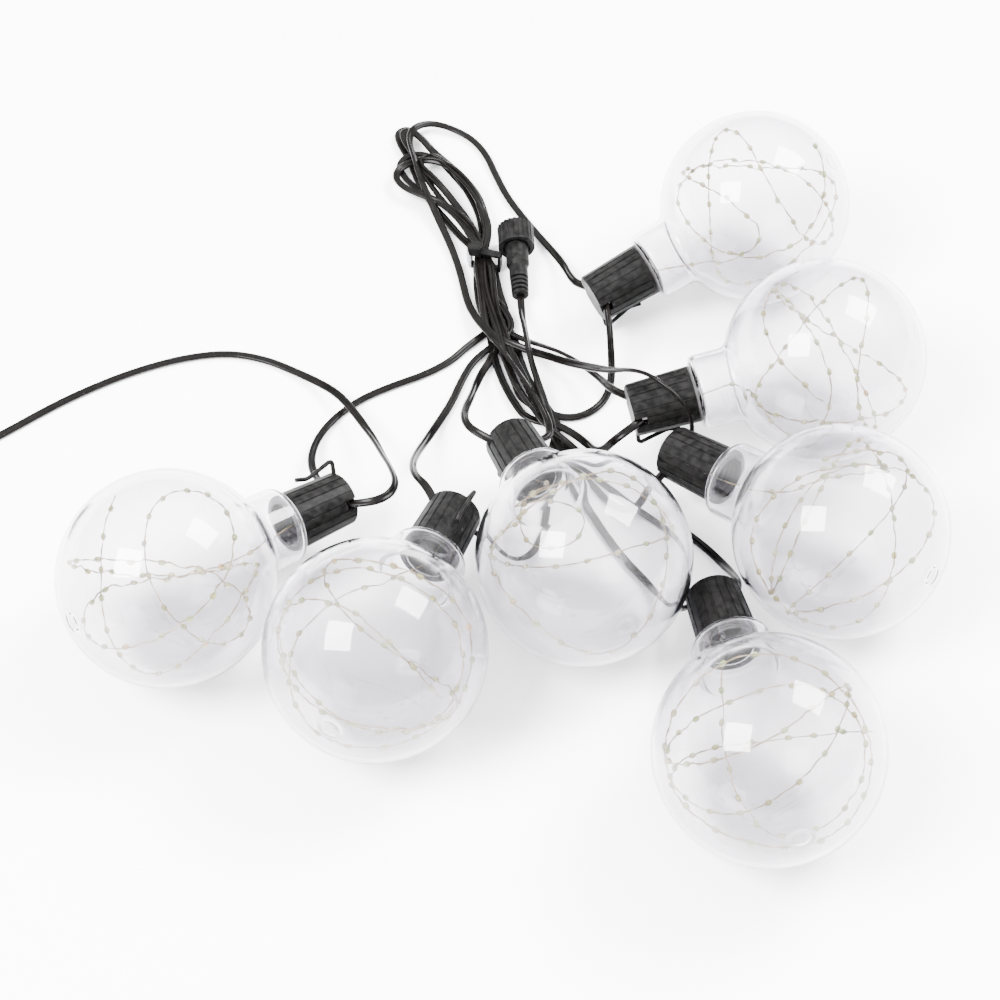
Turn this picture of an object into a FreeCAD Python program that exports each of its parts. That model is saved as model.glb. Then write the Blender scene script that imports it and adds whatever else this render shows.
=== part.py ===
"""Solar globe string lights: seven clear 80 mm globe lamps on a flat twin cable.

Millimetres, +Z up. The origin is on the floor, under the middle of the box round the seven lamps.
Each lamp is built on its own axis (+Z from the globe's centre to its socket) and then laid in place.
"""
import FreeCAD, Part
import math
import os

Vector = FreeCAD.Vector
Z_AXIS = Vector(0, 0, 1)

# ---- globe ----
GLOBE_R = 40.0
WALL = 1.6
NECK_R = 15.0
NECK_END = 53.2            # outer end face of the neck, from the globe's centre
NECK_ROUND = 3.2
NECK_FILLET = 4.0          # hollow curve between globe and neck
SPIGOT_R = 9.6
SPIGOT_BORE_R = 8.2
SPIGOT_END = 63.0
THREAD_PITCH = 2.0
THREAD_CREST = 0.5
THREAD_RINGS = 3
GATE_R = 3.5               # moulding ring at the pole opposite the neck

# ---- seal ring between neck and socket ----
SEAL_THICK = 0.8
SEAL_GAP = 0.05

# ---- socket ----
SOCKET_FRONT = NECK_END + SEAL_THICK + 2 * SEAL_GAP
SOCKET_BACK = 79.5
SOCKET_FRONT_R = 11.4
SOCKET_BACK_R = 10.6
SOCKET_BORE_R = 10.6
SOCKET_STEP = 64.5         # end of the threaded bore
CAVITY_R = 9.0
CAVITY_END = 76.5
GROOVES = 20
GROOVE_WIDTH = 0.8
GROOVE_DEPTH = 0.45
NOTCH_WIDTH = 4.0
NOTCH_START = 74.6
CABLE_EXIT = 77.0          # cable's height along the lamp's axis in its notch

# ---- hanging clip ----
CLIP_ROD_R = 0.85

# ---- circuit board and light wire ----
BOARD_SIZE = (13.0, 1.6, 11.0)
DRIVER_SIZE = (6.0, 4.2, 6.0)
LED_COUNT = 24
LED_R = 1.2
WIRE_R = 0.35
TANGLED = 3                # lamp whose light wire is bunched near its neck
UNSCREWED = 3.0            # how far a globe comes out before its thread lets go
WIND_R = 36.4              # how far the light wire stands from the globe's centre

# ---- cable ----
CABLE_R = 1.3              # round section with the area of the 3.4 x 1.7 flat twin cable
ARC_SHARE = 0.45

# ---- hank, coil and tie ----
HANK_LOW = 1.3
HANK_HIGH = 8.5
COIL_CENTRE = (-248.0, 45.5)
COIL_IN_R = 10.5
COIL_OUT_R = 28.0
COIL_HEIGHT = 10.5
TIE_WIDTH = 3.6
TIE_THICK = 1.1
TIE_SKEW = -25.0           # the tie's turn away from square across the hank, degrees

# ---- screw connector ----
NUT_R = 8.0
NUT_LENGTH = 11.0
NUT_FRONT = 37.2           # mouth of the nut, from the connector's cable end
NUT_BORE_R = 6.0           # threaded mouth, thread left plain
NUT_CHAMBER_R = 6.2        # room for the barrel's flange and the seal
NUT_CHAMBER = 3.0
NUT_WALL = 1.9             # back wall that the flange pulls on
NUT_BACK_R = 5.3
NUT_GROOVE_R = 0.55
NUT_RIBS = 22
BARREL_R = 5.0
FLANGE_R = 5.7
SHANK_R = 5.7              # plug's threaded shank, thread left plain
RELIEF_END_R = 3.7

# Each lamp: globe centre x and y, tilt of its axis, heading of its axis, roll of its cable exits.
LAMPS = {
    1: (-124.5, -61.5, -12.0, 40.0, 149.0),
    2: (-48.0, -92.5, -11.0, 70.0, 209.0),
    3: (26.5, -52.5, -14.0, 110.0, 25.0),
    4: (87.0, -133.0, -13.0, 99.0, -10.0),
    5: (121.5, -40.5, -12.0, 138.0, -20.0),
    6: (124.5, 45.5, -9.0, 192.0, 18.0),
    7: (104.0, 133.0, -16.0, 206.0, 17.0),
}

# Middle line of the tied hank from its loops to its loose end: x, y, half width.
HANK_LINE = [
    (-47.0, 223.0, 5.5),
    (-42.0, 207.0, 10.0),
    (-30.5, 186.0, 12.5),
    (-21.5, 166.0, 12.0),
    (-15.5, 151.0, 8.0),
    (-10.6, 136.5, 4.6),
    (-8.6, 115.0, 7.0),
    (-4.0, 92.0, 8.0),
    (3.0, 68.0, 8.5),
    (11.0, 49.0, 8.0),
    (18.0, 37.0, 6.5),
]
TIE_STATION = 5


def lamp_frame(number):
    """Placement that lays a lamp, built on its own axis, in its place."""
    x, y, tilt, heading, roll = LAMPS[number]
    tilt = math.radians(tilt)
    heading = math.radians(heading)
    along = Vector(math.cos(tilt) * math.cos(heading), math.cos(tilt) * math.sin(heading), math.sin(tilt))
    left = Vector(-math.sin(heading), math.cos(heading), 0)
    up = along.cross(left)
    turn = FreeCAD.Rotation(left, up, along, "ZXY")
    return FreeCAD.Placement(Vector(x, y, GLOBE_R), turn.multiply(FreeCAD.Rotation(Z_AXIS, roll)))


def placed(shape, placement):
    moved = shape.copy()
    moved.Placement = placement.multiply(moved.Placement)
    return moved


def exit_points(number, side, lean, reach):
    """Two points of a cable leaving a lamp's notch: in the notch, and out beyond it.

    side is 1 or -1 for the two notches; lean turns the way out towards the socket's back.
    """
    placement = lamp_frame(number)
    out = Vector(side, 0, lean).normalize()
    start = Vector(side * (CAVITY_R - 0.3), 0, CABLE_EXIT)
    return [placement.multVec(start), placement.multVec(start + out * reach)]


def side_exit(number, side):
    """Start of a cable that bends away right in the mouth of its notch."""
    return lamp_frame(number).multVec(Vector(side * (CAVITY_R + 0.8), 0, CABLE_EXIT))


def arc_point(centre_r, centre_z, radius, degrees):
    angle = math.radians(degrees)
    return Vector(centre_r + radius * math.cos(angle), 0, centre_z + radius * math.sin(angle))


def profile(steps):
    """Face in the XZ half plane from steps: a Vector for a line to it, a pair for an arc through and to."""
    edges = []
    here = steps[0]
    for step in steps[1:] + [steps[0]]:
        if isinstance(step, tuple):
            middle, end = step
            edges.append(Part.Arc(here, middle, end).toShape())
        else:
            end = step
            edges.append(Part.LineSegment(here, end).toShape())
        here = end
    return Part.Face(Part.Wire(edges))


def revolved(steps):
    return profile(steps).revolve(Vector(0, 0, 0), Z_AXIS, 360)


def at(radius, height):
    return Vector(radius, 0, height)


def make_globe():
    """Hollow globe with its rounded neck, threaded spigot and moulding ring."""
    fillet_r = NECK_R + NECK_FILLET
    fillet_z = math.sqrt((GLOBE_R + NECK_FILLET) ** 2 - fillet_r ** 2)
    meet = math.degrees(math.atan2(fillet_z, fillet_r))
    gate_in = math.degrees(math.acos((GATE_R - 0.4) / GLOBE_R))
    gate_out = math.degrees(math.acos((GATE_R + 0.4) / GLOBE_R))
    round_r = NECK_R - NECK_ROUND
    round_z = NECK_END - NECK_ROUND
    inner_r = GLOBE_R - WALL
    facing = meet - 180
    steps = [at(0, -GLOBE_R)]
    steps.append((arc_point(0, 0, GLOBE_R, -90 + (90 - gate_in) / 2), arc_point(0, 0, GLOBE_R, -gate_in)))
    steps.append(arc_point(0, 0, GLOBE_R + 0.4, -gate_in))
    steps.append(arc_point(0, 0, GLOBE_R + 0.4, -gate_out))
    steps.append(arc_point(0, 0, GLOBE_R, -gate_out))
    steps.append((arc_point(0, 0, GLOBE_R, 0), arc_point(0, 0, GLOBE_R, meet)))
    steps.append((arc_point(fillet_r, fillet_z, NECK_FILLET, (facing - 180) / 2),
                  at(NECK_R, fillet_z)))
    steps.append(at(NECK_R, round_z))
    steps.append((arc_point(round_r, round_z, NECK_ROUND, 45), at(round_r, NECK_END)))
    steps.append(at(SPIGOT_R, NECK_END))
    for ring in range(THREAD_RINGS):
        height = NECK_END + 2.8 + ring * THREAD_PITCH
        steps.append(at(SPIGOT_R, height - 0.5))
        steps.append(at(SPIGOT_R + THREAD_CREST, height))
        steps.append(at(SPIGOT_R, height + 0.5))
    steps.append(at(SPIGOT_R, SPIGOT_END))
    steps.append(at(SPIGOT_BORE_R, SPIGOT_END))
    steps.append(at(SPIGOT_BORE_R, NECK_END - WALL))
    steps.append(at(round_r, NECK_END - WALL))
    steps.append((arc_point(round_r, round_z, NECK_ROUND - WALL, 45), at(NECK_R - WALL, round_z)))
    steps.append(at(NECK_R - WALL, fillet_z))
    steps.append((arc_point(fillet_r, fillet_z, NECK_FILLET + WALL, (facing - 180) / 2),
                  arc_point(0, 0, inner_r, meet)))
    steps.append((arc_point(0, 0, inner_r, 0), at(0, -inner_r)))
    return revolved(steps)


def make_seal_ring():
    low = NECK_END + SEAL_GAP
    ring = Part.makeCylinder(SOCKET_FRONT_R, SEAL_THICK, at(0, low))
    return ring.cut(Part.makeCylinder(SPIGOT_R + 0.3, SEAL_THICK, at(0, low)))


def make_socket():
    """Ribbed socket: threaded bore in front, circuit cavity behind, a cable notch on each side."""
    length = SOCKET_BACK - SOCKET_FRONT
    body = Part.makeCone(SOCKET_FRONT_R, SOCKET_BACK_R, length, at(0, SOCKET_FRONT))
    tools = [Part.makeCylinder(SOCKET_BORE_R, SOCKET_STEP - SOCKET_FRONT, at(0, SOCKET_FRONT))]
    tools.append(Part.makeCylinder(CAVITY_R, CAVITY_END - SOCKET_STEP, at(0, SOCKET_STEP)))
    for index in range(GROOVES):
        angle = (index + 0.5) * 360 / GROOVES
        groove = Part.makeBox(2.0, GROOVE_WIDTH, length, Vector(0, -GROOVE_WIDTH / 2, 0))
        lean = math.degrees(math.atan2(SOCKET_BACK_R - SOCKET_FRONT_R, length))
        groove.rotate(Vector(0, 0, 0), Vector(0, 1, 0), lean)
        groove.translate(at(SOCKET_FRONT_R - GROOVE_DEPTH, SOCKET_FRONT + 1.2))
        groove.rotate(Vector(0, 0, 0), Z_AXIS, angle)
        tools.append(groove)
    notch_in = CAVITY_R - 0.6
    for side in (1, -1):
        notch = Part.makeBox(4.0, NOTCH_WIDTH, SOCKET_BACK - NOTCH_START, Vector(0, -NOTCH_WIDTH / 2, 0))
        notch.translate(at(notch_in if side > 0 else -notch_in - 4.0, NOTCH_START))
        tools.append(notch)
    rim = [edge for edge in body.Edges if abs(edge.BoundBox.ZMin - SOCKET_BACK) < 0.01]
    body = body.makeChamfer(0.7, [edge for edge in rim if edge.BoundBox.ZMax - SOCKET_BACK < 0.01])
    return body.cut(tools)


def make_clip():
    """Sprung hanging hook: out from the socket's back, bent forward along its side, tip flared."""
    radii = [10.2, 16.0, 12.9, 14.4]
    heights = [78.4, 78.9, 66.5, 61.5]
    points = [Vector(0, -r, z) for r, z in zip(radii, heights)]
    return tube(points, CLIP_ROD_R, 0.3)


def make_board():
    width, thick, length = BOARD_SIZE
    board = Part.makeBox(width, thick, length, Vector(-width / 2, -thick, CAVITY_END - length))
    wide, deep, tall = DRIVER_SIZE
    return board.fuse(Part.makeBox(wide, deep, tall, Vector(-wide / 2, 0, CAVITY_END - length + 0.6)))


def light_points(number):
    """Places of the light drops: loose turns round the inside of the globe, from the board out."""
    points = [at(1.5, CAVITY_END - BOARD_SIZE[2]), at(3.0, 52.0)]
    for index in range(LED_COUNT):
        along = index * 0.92 + number * 1.64 + 0.12
        sway = 0.75 * math.sin(index * 0.41 + number) + 0.25 * math.sin(index * 1.9 + 2 * number)
        plane = index * 0.23 + number * 0.9
        ring = Vector(math.cos(along), math.sin(along) * math.cos(plane), math.sin(along) * math.sin(plane))
        ring = ring + Vector(0, 0.35 * sway, 0.35 * math.cos(plane) * sway)
        ring.normalize()
        if index == 0:
            ring = (ring + Vector(0, 0, 2.6)).normalize()
        elif number == TANGLED and index < 11:
            ring = (ring + Vector(0, 0, 1.6)).normalize()
        radius = WIND_R - 1.6 * math.sin(index * 2.4 + number) ** 2 - UNSCREWED * max(0.0, ring.z)
        points.append(ring * radius)
    return points


def make_light_wire(number):
    """Fine wire with a drop of clear resin over each light."""
    points = light_points(number)
    pieces = []
    for start, end in zip(points, points[1:]):
        run = end - start
        pieces.append(Part.makeCylinder(WIRE_R, run.Length, start, run))
    for point in points[1:]:
        pieces.append(Part.makeSphere(LED_R, point))
    return pieces[0].fuse(pieces[1:])


def bend(before, corner, after, share):
    """Arc edge ends and middle that round a corner, and the arc's radius."""
    run_in = before - corner
    run_out = after - corner
    take = share * min(run_in.Length, run_out.Length)
    run_in.normalize()
    run_out.normalize()
    half_turn = (math.pi - run_in.getAngle(run_out)) / 2
    radius = take / math.tan(half_turn)
    towards = (run_in + run_out).normalize()
    middle = corner + towards * (radius / math.cos(half_turn) - radius)
    return corner + run_in * take, middle, corner + run_out * take, radius


def tube_wire(points, share=ARC_SHARE):
    """Straight runs joined by tangent arcs, and the smallest arc radius."""
    edges = []
    radii = []
    here = points[0]
    for before, corner, after in zip(points, points[1:], points[2:]):
        start, middle, end, radius = bend(before, corner, after, share)
        edges.append(Part.LineSegment(here, start).toShape())
        edges.append(Part.Arc(start, middle, end).toShape())
        radii.append(radius)
        here = end
    edges.append(Part.LineSegment(here, points[-1]).toShape())
    return Part.Wire(edges), min(radii)


def tube(points, radius, share=ARC_SHARE):
    wire, smallest = tube_wire(points, share)
    first = points[1] - points[0]
    section = Part.Wire(Part.makeCircle(radius, points[0], first))
    solid = wire.makePipeShell([section], True, False)
    expected = math.pi * radius ** 2 * wire.Length
    print("tube %.0f mm, smallest bend %.1f mm, volume ratio %.4f"
          % (wire.Length, smallest, solid.Volume / expected))
    return solid


def route(points):
    return [Vector(*point) for point in points]


def make_cables():
    """Free stretches of cable outside the hank and the coil, one node for each cable."""
    lead = exit_points(1, 1, 0.5, 8.0) + route([
        (-46.5, -16.8, 31.3), (-43.7, -9, 29.5), (-46.6, 2.5, 24.5), (-50.5, 14, 18.5), (-54.5, 26, 13.5),
        (-59.5, 37, 9.5), (-65, 47.5, 7.4), (-71.5, 56.5, 6.9), (-79.5, 65, 3.6), (-90, 73, 1.6),
        (-104, 80.5, 1.5), (-120, 84, 1.5), (-137, 81.5, 1.5), (-154, 75.5, 1.5), (-171.5, 66.5, 1.5),
        (-189.5, 54.5, 1.5), (-207, 40, 1.5), (-224, 27.5, 1.5), (-236, 21, 2.5), (-247, 18.6, 3.5)])
    lead_end = route([(-276, 48, 8.0), (-276.3, 58, 7.5), (-274.8, 69, 6.7), (-275, 78, 6.3),
                      (-275, 87, 6.55)])
    first_second_a = exit_points(1, -1, 1.2, 7.0) + route([
        (-76, 6, 12), (-79.5, 15, 8.5), (-80.5, 26, 5), (-78, 38, 2.5), (-71.5, 49, 1.5),
        (-61.5, 58.5, 1.5), (-49, 65.5, 1.5), (-36, 71.5, 1.5), (-25, 79, 1.5), (-17.5, 88.5, 1.5),
        (-12.5, 99, 1.7)])
    first_second_b = exit_points(2, -1, 0.8, 7.0) + route([
        (-37, -4, 28), (-38.5, 6, 22), (-37.5, 18, 14), (-34, 31, 7), (-29.5, 44, 2.5), (-24, 56.5, 1.5),
        (-20, 69, 1.5), (-14.5, 81, 1.7)])
    second_third_a = exit_points(2, 1, 0.0, 7.0) + route([
        (-3.5, -31, 12), (3, -29, 6.5), (9, -21.5, 2.6), (12.5, -10.5, 1.5), (14.5, 2, 1.5), (15, 14.5, 1.5),
        (16, 26, 1.5), (17, 34, 2.2)])
    second_third_b = exit_points(3, 1, 0.8, 9.0) + route([
        (-18.5, 27.5, 24.3), (-18, 38, 19), (-16, 49, 12.5), (-14.5, 60, 6.5), (-12, 71, 2.8), (-7.5, 80.5, 2.2)])
    third_seventh_a = exit_points(3, -1, 0.9, 6.0) + route([
        (15.6, 29, 12), (16.2, 34, 9.2), (16, 39, 7)])
    third_seventh_b = exit_points(7, -1, 0.5, 7.0) + route([
        (26.5, 121, 9.5), (24, 132, 6), (19, 144, 3), (12.5, 156, 1.6), (5.5, 168, 1.5), (-1, 180.5, 1.5),
        (-6, 194.5, 1.5), (-10.5, 209, 1.5), (-17, 220.5, 1.5), (-27, 226, 1.8), (-36, 226, 2.8),
        (-43, 221, 4)])
    seventh_sixth_a = exit_points(7, 1, 0.3, 8.0) + route([
        (41.9, 77.7, 17.4), (42.5, 71.5, 10.5), (42.5, 65, 5), (40, 57.5, 1.8), (34, 51, 1.5), (26.5, 47.5, 1.5),
        (18.5, 48, 1.7)])
    seventh_sixth_b = exit_points(6, -1, 0.7, 7.0) + route([
        (40, 50.5, 18), (37.5, 59, 13), (32.5, 67.5, 9.5), (25.5, 75.5, 8.5), (16.5, 83, 6), (6, 88.5, 4.6)])
    sixth_fifth_a = exit_points(6, 1, 1.5, 7.6) + route([
        (39.8, 13.8, 26.5), (37, 16.9, 17.8), (34, 22.5, 10.6), (31, 30.2, 6), (26.5, 37.5, 3), (20, 43, 2.2)])
    sixth_fifth_b = [side_exit(5, -1)] + route([
        (71.3, 17.7, 35.3), (66.8, 21.5, 42.1), (60.3, 26.9, 45.3), (53.8, 33, 45.2), (47.6, 39.2, 40.8),
        (41, 47, 31.5), (35, 55.5, 23.5), (29, 63.5, 16.5), (22.5, 71, 10.5), (15.5, 77.5, 7), (8, 82, 5.2)])
    fifth_fourth_a = exit_points(5, 1, 0.2, 6.0) + route([
        (52.8, -3.4, 12.5), (48.8, -3.6, 7), (43.5, 0.5, 3), (38, 7.5, 1.5), (33.4, 15.8, 1.5), (28, 23, 1.5),
        (22.7, 31.5, 1.8), (17.8, 40, 2.4)])
    fifth_fourth_b = exit_points(4, -1, 2.6, 6.0) + route([
        (84.5, -45, 18), (83.5, -37.5, 11.5), (81, -29, 6), (76.5, -20, 2.4), (69.5, -12, 1.5),
        (61, -5.5, 1.5), (52, 0, 3), (43.5, 6.5, 5.6), (36, 14.5, 6), (29, 24, 6), (22.4, 32.6, 5.4), (17, 41, 4.8)])
    connector_lead_a = [side_exit(4, 1)] + route([
        (62.4, -57.8, 14.1), (60.3, -51.5, 8.5), (57.5, -44, 4), (53, -35.5, 1.7), (44.5, -24.5, 1.5),
        (37.5, -12, 1.5), (31, 1.5, 1.5), (26.5, 14, 1.5), (20, 27.5, 1.8)])
    connector_lead_b = route([
        (4.6, 118.5, 5.1), (5.1, 109.2, 3.9), (5.5, 100.7, 6), (6.3, 92.2, 9), (7.3, 83.2, 10),
        (8.6, 74.2, 8.8), (10, 66, 6)])
    return {
        "lead": [lead, lead_end],
        "cable_1_2": [first_second_a, first_second_b],
        "cable_2_3": [second_third_a, second_third_b],
        "cable_3_7": [third_seventh_a, third_seventh_b],
        "cable_7_6": [seventh_sixth_a, seventh_sixth_b],
        "cable_6_5": [sixth_fifth_a, sixth_fifth_b],
        "cable_5_4": [fifth_fourth_a, fifth_fourth_b],
        "connector_lead": [connector_lead_a, connector_lead_b],
    }


def hank_outline():
    """Left and right edges of the hank along its middle line."""
    left = []
    right = []
    for index, (x, y, half) in enumerate(HANK_LINE):
        before = HANK_LINE[max(index - 1, 0)]
        after = HANK_LINE[min(index + 1, len(HANK_LINE) - 1)]
        along = Vector(after[0] - before[0], after[1] - before[1], 0).normalize()
        across = Vector(-along.y, along.x, 0)
        left.append(Vector(x, y, HANK_LOW) + across * half)
        right.append(Vector(x, y, HANK_LOW) - across * half)
    return left + right[::-1]


def make_hank():
    """Outer shape of the folded cables between their loops and the place where they fan out."""
    corners = hank_outline()
    outline = Part.makePolygon(corners + corners[:1])
    solid = Part.Face(outline).extrude(Vector(0, 0, HANK_HIGH - HANK_LOW))
    top = [edge for edge in solid.Edges if edge.BoundBox.ZMin > HANK_HIGH - 0.01]
    return solid.makeChamfer(1.5, top)


def make_coil():
    x, y = COIL_CENTRE
    ring = Part.makeCylinder(COIL_OUT_R, COIL_HEIGHT, Vector(x, y, 0.1))
    return ring.cut(Part.makeCylinder(COIL_IN_R, COIL_HEIGHT, Vector(x, y, 0.1)))


def make_tie():
    """Cable tie round the hank, with its head and the short end that stands out of it."""
    x, y, half = HANK_LINE[TIE_STATION]
    before = HANK_LINE[TIE_STATION - 1]
    after = HANK_LINE[TIE_STATION + 1]
    heading = math.degrees(math.atan2(after[1] - before[1], after[0] - before[0])) + TIE_SKEW
    skew = math.radians(abs(TIE_SKEW))
    wide = (2 * half + TIE_WIDTH * math.sin(skew)) / math.cos(skew) + 0.4
    tall = HANK_HIGH + TIE_THICK + 0.1
    band = Part.makeBox(TIE_WIDTH, wide + 2 * TIE_THICK, tall, Vector(-TIE_WIDTH / 2, -wide / 2 - TIE_THICK, 0.1))
    band = band.makeFillet(1.0, [edge for edge in band.Edges if edge.BoundBox.XLength > TIE_WIDTH - 0.1])
    hole = Part.makeBox(TIE_WIDTH, wide, tall - 2 * TIE_THICK,
                        Vector(-TIE_WIDTH / 2, -wide / 2, 0.1 + TIE_THICK))
    head = Part.makeBox(5.2, 5.0, 4.4, Vector(-2.6, -wide / 2 - 0.6, HANK_HIGH - 0.2))
    tail = Part.makeBox(3.0, 1.2, 9.0, Vector(-1.5, -wide / 2 - 1.8, HANK_HIGH - 5.5))
    tie = band.cut(hole).fuse([head, tail])
    tie.rotate(Vector(0, 0, 0), Z_AXIS, heading)
    tie.translate(Vector(x, y, 0))
    return tie


def connector_frame():
    """Screw connector: +Z from its cable end to its mouth, laid on the nut's rim."""
    tail = Vector(4.8, 114.5, 4.6)
    mouth = Vector(2.6, 151.6, 9.7)
    return FreeCAD.Placement(tail, FreeCAD.Rotation(Z_AXIS, mouth - tail))


def plug_frame():
    """Screw plug at the far end of the lead: +Z from its cable end to its mouth."""
    return FreeCAD.Placement(Vector(-275, 82, 6.4), FreeCAD.Rotation(Z_AXIS, Vector(0, 1, 0.03)))


def relief_steps():
    """Outline of the grooved strain relief that both connector halves share."""
    steps = [at(1.7, 0), at(RELIEF_END_R - 0.5, 0), at(RELIEF_END_R, 0.6)]
    for groove in range(4):
        height = 1.6 + 2.2 * groove
        steps.append(at(RELIEF_END_R + 0.1 * groove, height))
        steps.append(at(RELIEF_END_R - 0.8, height + 0.1))
        steps.append(at(RELIEF_END_R - 0.8, height + 0.9))
        steps.append(at(RELIEF_END_R + 0.1 * (groove + 1), height + 1.0))
    return steps


def make_connector_body():
    """Barrel with the flange that the nut turns behind, and the strain relief."""
    steps = relief_steps()
    steps.append(at(4.1, 15.0))
    steps.append(at(BARREL_R, 17.0))
    steps.append(at(BARREL_R, 28.2))
    steps.append(at(FLANGE_R, 28.4))
    steps.append(at(FLANGE_R, 30.0))
    steps.append(at(3.4, 30.0))
    steps.append(at(3.4, 24.0))
    steps.append(at(1.7, 24.0))
    return revolved(steps)


def make_coupling_nut():
    """Ribbed nut that turns freely behind the barrel's flange, its thread open in front."""
    back = NUT_FRONT - NUT_LENGTH
    body = Part.makeCylinder(NUT_R, NUT_LENGTH, at(0, back))
    tools = [Part.makeCylinder(NUT_BORE_R, NUT_LENGTH, at(0, back + NUT_WALL))]
    tools.append(Part.makeCylinder(NUT_CHAMBER_R, NUT_CHAMBER, at(0, back + NUT_WALL)))
    tools.append(Part.makeCylinder(NUT_BACK_R, NUT_LENGTH, at(0, back)))
    tools.append(Part.makeCylinder(NUT_CHAMBER_R, NUT_WALL / 2, at(0, back)))
    for index in range(NUT_RIBS):
        groove = Part.makeCylinder(NUT_GROOVE_R, NUT_LENGTH, at(NUT_R + 0.1, back + 0.8))
        groove.rotate(Vector(0, 0, 0), Z_AXIS, index * 360 / NUT_RIBS)
        tools.append(groove)
    return body.cut(tools)


def make_connector_seal():
    low = 30.0
    ring = Part.makeCylinder(5.6, 1.0, at(0, low))
    return ring.cut(Part.makeCylinder(4.2, 1.0, at(0, low)))


def make_contacts(base, length):
    """Two contact pins side by side."""
    pins = []
    for side in (-1, 1):
        pins.append(Part.makeCylinder(0.5, length, Vector(side * 1.15, 0, base)))
    return Part.makeCompound(pins)


def make_plug_body():
    """Plug that mates with the nut: threaded shank, grip collar and strain relief."""
    steps = relief_steps()
    steps.append(at(4.6, 13.0))
    steps.append(at(6.2, 14.5))
    steps.append(at(6.2, 20.0))
    steps.append(at(SHANK_R, 20.0))
    steps.append(at(SHANK_R, 26.0))
    steps.append(at(SHANK_R - 0.4, 26.4))
    steps.append(at(3.3, 26.4))
    steps.append(at(3.3, 20.5))
    steps.append(at(1.7, 20.5))
    return revolved(steps)


def export(shape, name):
    if not shape.isValid():
        print("NOT VALID", name)
    shape.exportStep("parts/%s.step" % name)


def export_lamps():
    globe = make_globe()
    seal = make_seal_ring()
    socket = make_socket()
    clip = make_clip()
    board = make_board()
    for number in LAMPS:
        place = lamp_frame(number)
        export(placed(globe, place), "globe_%d" % number)
        export(placed(seal, place), "seal_ring_%d" % number)
        export(placed(socket, place), "socket_%d" % number)
        export(placed(clip, place), "hanging_clip_%d" % number)
        export(placed(board, place), "circuit_board_%d" % number)
        export(placed(make_light_wire(number), place), "light_wire_%d" % number)


def export_cables():
    for name, stretches in make_cables().items():
        print(name)
        tubes = [tube(points, CABLE_R) for points in stretches]
        export(Part.makeCompound(tubes), name)
    export(make_hank(), "hank")
    export(make_coil(), "lead_coil")
    export(make_tie(), "cable_tie")


def export_connectors():
    place = connector_frame()
    export(placed(make_connector_body(), place), "connector_body")
    export(placed(make_coupling_nut(), place), "coupling_nut")
    export(placed(make_connector_seal(), place), "connector_seal")
    export(placed(make_contacts(22.0, 6.5), place), "connector_contacts")
    place = plug_frame()
    export(placed(make_plug_body(), place), "plug_body")
    export(placed(make_contacts(18.0, 7.0), place), "plug_contacts")


os.makedirs("parts", exist_ok=True)
export_lamps()
export_cables()
export_connectors()
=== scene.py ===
"""Solar globe string lights: materials, cords, light wires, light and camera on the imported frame."""
import bpy
import math
from mathutils import Matrix, Vector


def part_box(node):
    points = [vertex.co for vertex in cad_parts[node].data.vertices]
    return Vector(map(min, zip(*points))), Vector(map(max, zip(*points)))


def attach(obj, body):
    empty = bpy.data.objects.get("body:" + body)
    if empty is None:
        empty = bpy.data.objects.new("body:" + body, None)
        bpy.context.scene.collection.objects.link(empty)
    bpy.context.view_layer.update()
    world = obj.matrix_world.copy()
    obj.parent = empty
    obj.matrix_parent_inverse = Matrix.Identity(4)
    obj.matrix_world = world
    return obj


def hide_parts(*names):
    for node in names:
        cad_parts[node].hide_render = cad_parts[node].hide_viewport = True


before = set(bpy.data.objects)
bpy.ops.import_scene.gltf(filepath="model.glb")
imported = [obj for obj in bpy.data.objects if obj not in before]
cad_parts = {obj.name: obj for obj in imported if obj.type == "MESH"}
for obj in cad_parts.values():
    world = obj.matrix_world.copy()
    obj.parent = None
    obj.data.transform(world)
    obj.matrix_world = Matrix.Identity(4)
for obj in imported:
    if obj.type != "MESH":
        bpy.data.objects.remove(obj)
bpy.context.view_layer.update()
MM = 0.001
BODY = "string"

# ---- sizes repeated from the CAD model, millimetres ----
GLOBE_R = 40.0
WALL = 1.6
NECK_R = 15.0
NECK_END = 53.2
NECK_ROUND = 3.2
NECK_FILLET = 4.0
SPIGOT_R = 9.6
SPIGOT_BORE_R = 8.2
SPIGOT_END = 63.0
CAVITY_R = 9.0
CABLE_EXIT = 77.0
BOARD_END = 65.5
WIND_R = 36.4
TANGLED = 3
UNSCREWED = 3.0
CABLE_THICK = 1.7
LED_COUNT = 24             # lights of the CAD wire, which lead the drawn wire

# ---- sizes of what is only drawn here, millimetres ----
STRAND_R = 0.16            # one strand of the light wire
STRAND_SWING = 0.17        # how far each strand stands off the pair's middle line
DROP_R = 1.05
DROP_GAP = 12.5
FIRST_DROP = 30.0          # bare wire from the board to the first light
THREAD_RISE = 0.5
GATE_RISE = 0.12           # height of the moulding ring at the globe's pole

COIL_CENTRE = (-248.0, 45.5)
COIL_RADII = (25.0, 21.0, 17.0, 13.0)
COIL_LAYERS = 4
COIL_STEPS = 14            # route points in a turn

# Each lamp: globe centre x and y, tilt, heading and roll in degrees.
LAMPS = {
    1: (-124.5, -61.5, -12.0, 40.0, 149.0),
    2: (-48.0, -92.5, -11.0, 70.0, 209.0),
    3: (26.5, -52.5, -14.0, 110.0, 25.0),
    4: (87.0, -133.0, -13.0, 99.0, -10.0),
    5: (121.5, -40.5, -12.0, 138.0, -20.0),
    6: (124.5, 45.5, -9.0, 192.0, 18.0),
    7: (104.0, 133.0, -16.0, 206.0, 17.0),
}


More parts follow.
